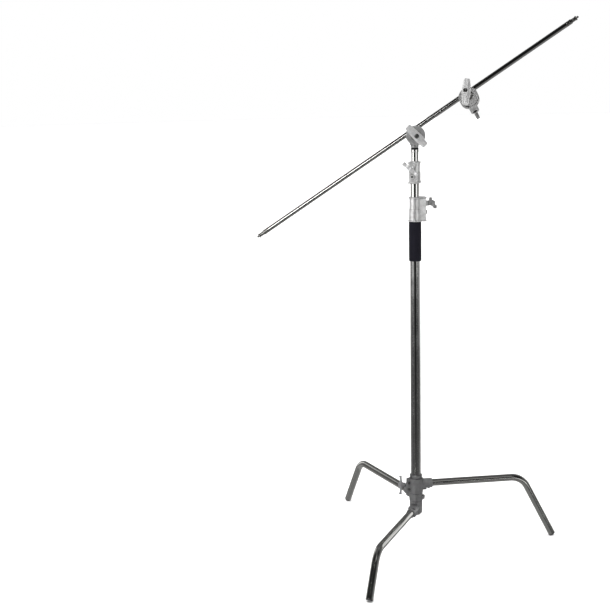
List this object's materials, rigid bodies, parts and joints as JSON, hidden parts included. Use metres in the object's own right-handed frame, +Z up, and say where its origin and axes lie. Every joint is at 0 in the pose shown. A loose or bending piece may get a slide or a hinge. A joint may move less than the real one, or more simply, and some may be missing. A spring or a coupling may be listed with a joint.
{
  "type": "century stand with boom arm",
  "caption": "Century stand: folding turtle base with bent tube legs, telescoping column, boom arm and round grip heads with T-handles.",
  "frame": {"origin": "on the floor, on the axis of the column", "axes": "+Z up the column; the boom lies 4 degrees from the XZ plane, in front of the column at -Y, and rises towards +X; the T-handles face -Y"},
  "size_m": [1.0689, 0.9274, 1.8373],
  "materials": {
    "base_casting": "satin grey cast metal",
    "bright_tube": "polished bright steel tube",
    "foot_plug": "moulded black plug",
    "sleeve": "soft matt sleeve, almost black",
    "black_ring": "matt",
    "bush": "moulded",
    "collar_casting": "satin silver casting",
    "head_casting": "satin silver casting",
    "machined_steel": "turned and knurled steel",
    "dark_screw": "dark zinc-plated screws",
    "brass_tip": "turned"
  },
  "bodies": {
    "stand": {"base_hub": "base_casting", "hub_screws": "dark_screw", "hub_post": "machined_steel", "right_leg_tube": "bright_tube", "right_leg_foot": "foot_plug", "right_leg_screw": "dark_screw", "column_tube": "bright_tube", "grip_sleeve": "sleeve", "lower_collar": "collar_casting", "lower_collar_screw": "dark_screw"},
    "left_leg": {"left_leg_casting": "base_casting", "left_leg_tube": "bright_tube", "left_leg_foot": "foot_plug", "left_leg_screw": "dark_screw"},
    "front_leg": {"front_leg_casting": "base_casting", "front_leg_tube": "bright_tube", "front_leg_foot": "foot_plug", "front_leg_screw": "dark_screw"},
    "base_knob": {"base_wing_knob": "base_casting", "base_wing_screw": "dark_screw", "base_screw_tip": "brass_tip"},
    "lower_knob": {"lower_wing_knob": "collar_casting", "lower_wing_screw": "dark_screw", "lower_screw_tip": "brass_tip"},
    "riser_1": {"riser_1_tube": "bright_tube", "riser_1_bush": "bush", "upper_collar": "collar_casting", "upper_collar_screw": "dark_screw"},
    "upper_knob": {"upper_wing_knob": "collar_casting", "upper_wing_screw": "dark_screw", "upper_screw_tip": "brass_tip"},
    "riser_2": {"riser_2_tube": "bright_tube", "riser_2_bush": "bush", "top_pin": "bright_tube", "pin_ring": "black_ring"},
    "head_1": {"head_1_bracket": "head_casting", "head_1_clamp_bolt": "machined_steel", "head_1_stop_screw": "machined_steel"},
    "head_1_knob": {"head_1_wing_knob": "head_casting", "head_1_wing_screw": "dark_screw", "head_1_screw_tip": "brass_tip"},
    "head_1_jaw": {"head_1_inner_jaw": "head_casting", "head_1_jaw_spring": "machined_steel"},
    "head_1_outer": {"head_1_outer_jaw": "head_casting", "head_1_thrust_washer": "machined_steel"},
    "head_1_handle": {"head_1_t_handle": "head_casting"},
    "boom": {"boom_tube": "bright_tube", "boom_spigot_lower": "machined_steel", "boom_spigot_upper": "machined_steel"},
    "head_2_jaw": {"head_2_inner_jaw": "head_casting", "head_2_jaw_spring": "machined_steel"},
    "head_2_outer": {"head_2_outer_jaw": "head_casting", "head_2_thrust_washer": "machined_steel"},
    "head_2_handle": {"head_2_t_handle": "head_casting"},
    "head_2_body": {"head_2_receiver": "head_casting", "head_2_clamp_bolt": "machined_steel", "head_2_stop_screw": "machined_steel"},
    "head_2_knob": {"head_2_wing_knob": "head_casting", "head_2_wing_screw": "dark_screw", "head_2_screw_tip": "brass_tip"}
  },
  "joints": [
    {"name": "left_leg_fold", "type": "hinge", "parent": "stand", "child": "left_leg", "pos_m": [0, 0, 0.181], "axis": [0, 0, 1], "range_deg": [-105, 0]},
    {"name": "front_leg_fold", "type": "hinge", "parent": "stand", "child": "front_leg", "pos_m": [0, 0, 0.144], "axis": [0, 0, 1], "range_deg": [0, 115]},
    {"name": "base_knob_turn", "type": "hinge", "parent": "stand", "child": "base_knob", "pos_m": [-0.044, 0, 0.222], "axis": [-1, 0, 0], "continuous": true},
    {"name": "lower_knob_turn", "type": "hinge", "parent": "stand", "child": "lower_knob", "pos_m": [0.0483, 0.01294, 1.23], "axis": [0.9659, 0.2588, 0], "continuous": true},
    {"name": "riser_1_slide", "type": "slide", "parent": "stand", "child": "riser_1", "axis": [0, 0, 1], "range_m": [-0.045, 0.8]},
    {"name": "upper_knob_turn", "type": "hinge", "parent": "riser_1", "child": "upper_knob", "pos_m": [-0.0121, -0.04852, 1.3504], "axis": [-0.2419, -0.9703, 0], "continuous": true},
    {"name": "riser_2_slide", "type": "slide", "parent": "riser_1", "child": "riser_2", "axis": [0, 0, 1], "range_m": [-0.03, 0.85]},
    {"name": "head_1_swivel", "type": "hinge", "parent": "riser_2", "child": "head_1", "pos_m": [0, 0, 1.462], "axis": [0, 0, 1], "continuous": true},
    {"name": "head_1_knob_turn", "type": "hinge", "parent": "head_1", "child": "head_1_knob", "pos_m": [-0.00279, 0.0399, 1.464], "axis": [-0.0698, 0.9976, 0], "continuous": true},
    {"name": "head_1_tilt", "type": "hinge", "parent": "head_1", "child": "head_1_jaw", "pos_m": [0.00258, -0.03691, 1.462], "axis": [0.0698, -0.9976, 0], "range_deg": [-75, 30]},
    {"name": "head_1_jaw_slide", "type": "slide", "parent": "head_1_jaw", "child": "head_1_outer", "axis": [0.0698, -0.9976, 0], "range_m": [0, 0.00301]},
    {"name": "head_1_handle_turn", "type": "hinge", "parent": "head_1_outer", "child": "head_1_handle", "pos_m": [0.00258, -0.03691, 1.462], "axis": [0.0698, -0.9976, 0], "range_deg": [0, 540]},
    {"name": "boom_slide", "type": "slide", "parent": "head_1_jaw", "child": "boom", "axis": [0.8328, 0.0582, 0.5505], "range_m": [-0.03, 0.55]},
    {"name": "head_2_slide", "type": "slide", "parent": "boom", "child": "head_2_jaw", "axis": [0.8328, 0.0582, 0.5505], "range_m": [-0.03, 0.34]},
    {"name": "head_2_jaw_slide", "type": "slide", "parent": "head_2_jaw", "child": "head_2_outer", "axis": [-0.2406, -0.8575, 0.4547], "range_m": [0, 0.00301]},
    {"name": "head_2_handle_turn", "type": "hinge", "parent": "head_2_outer", "child": "head_2_handle", "pos_m": [0.17843, -0.03499, 1.58143], "axis": [-0.2406, -0.8575, 0.4547], "range_deg": [0, 540]},
    {"name": "head_2_receiver_turn", "type": "hinge", "parent": "head_2_jaw", "child": "head_2_body", "pos_m": [0.17843, -0.03499, 1.58143], "axis": [-0.2406, -0.8575, 0.4547], "continuous": true},
    {"name": "head_2_knob_turn", "type": "hinge", "parent": "head_2_body", "child": "head_2_knob", "pos_m": [0.19936, 0.03962, 1.54187], "axis": [0.2406, 0.8575, -0.4547], "continuous": true}
  ],
  "couplings": [
    {"joint": "head_1_jaw_slide", "follows": "head_1_handle_turn", "m_per_rad": 0.00031831},
    {"joint": "head_2_jaw_slide", "follows": "head_2_handle_turn", "m_per_rad": 0.00031831}
  ]
}
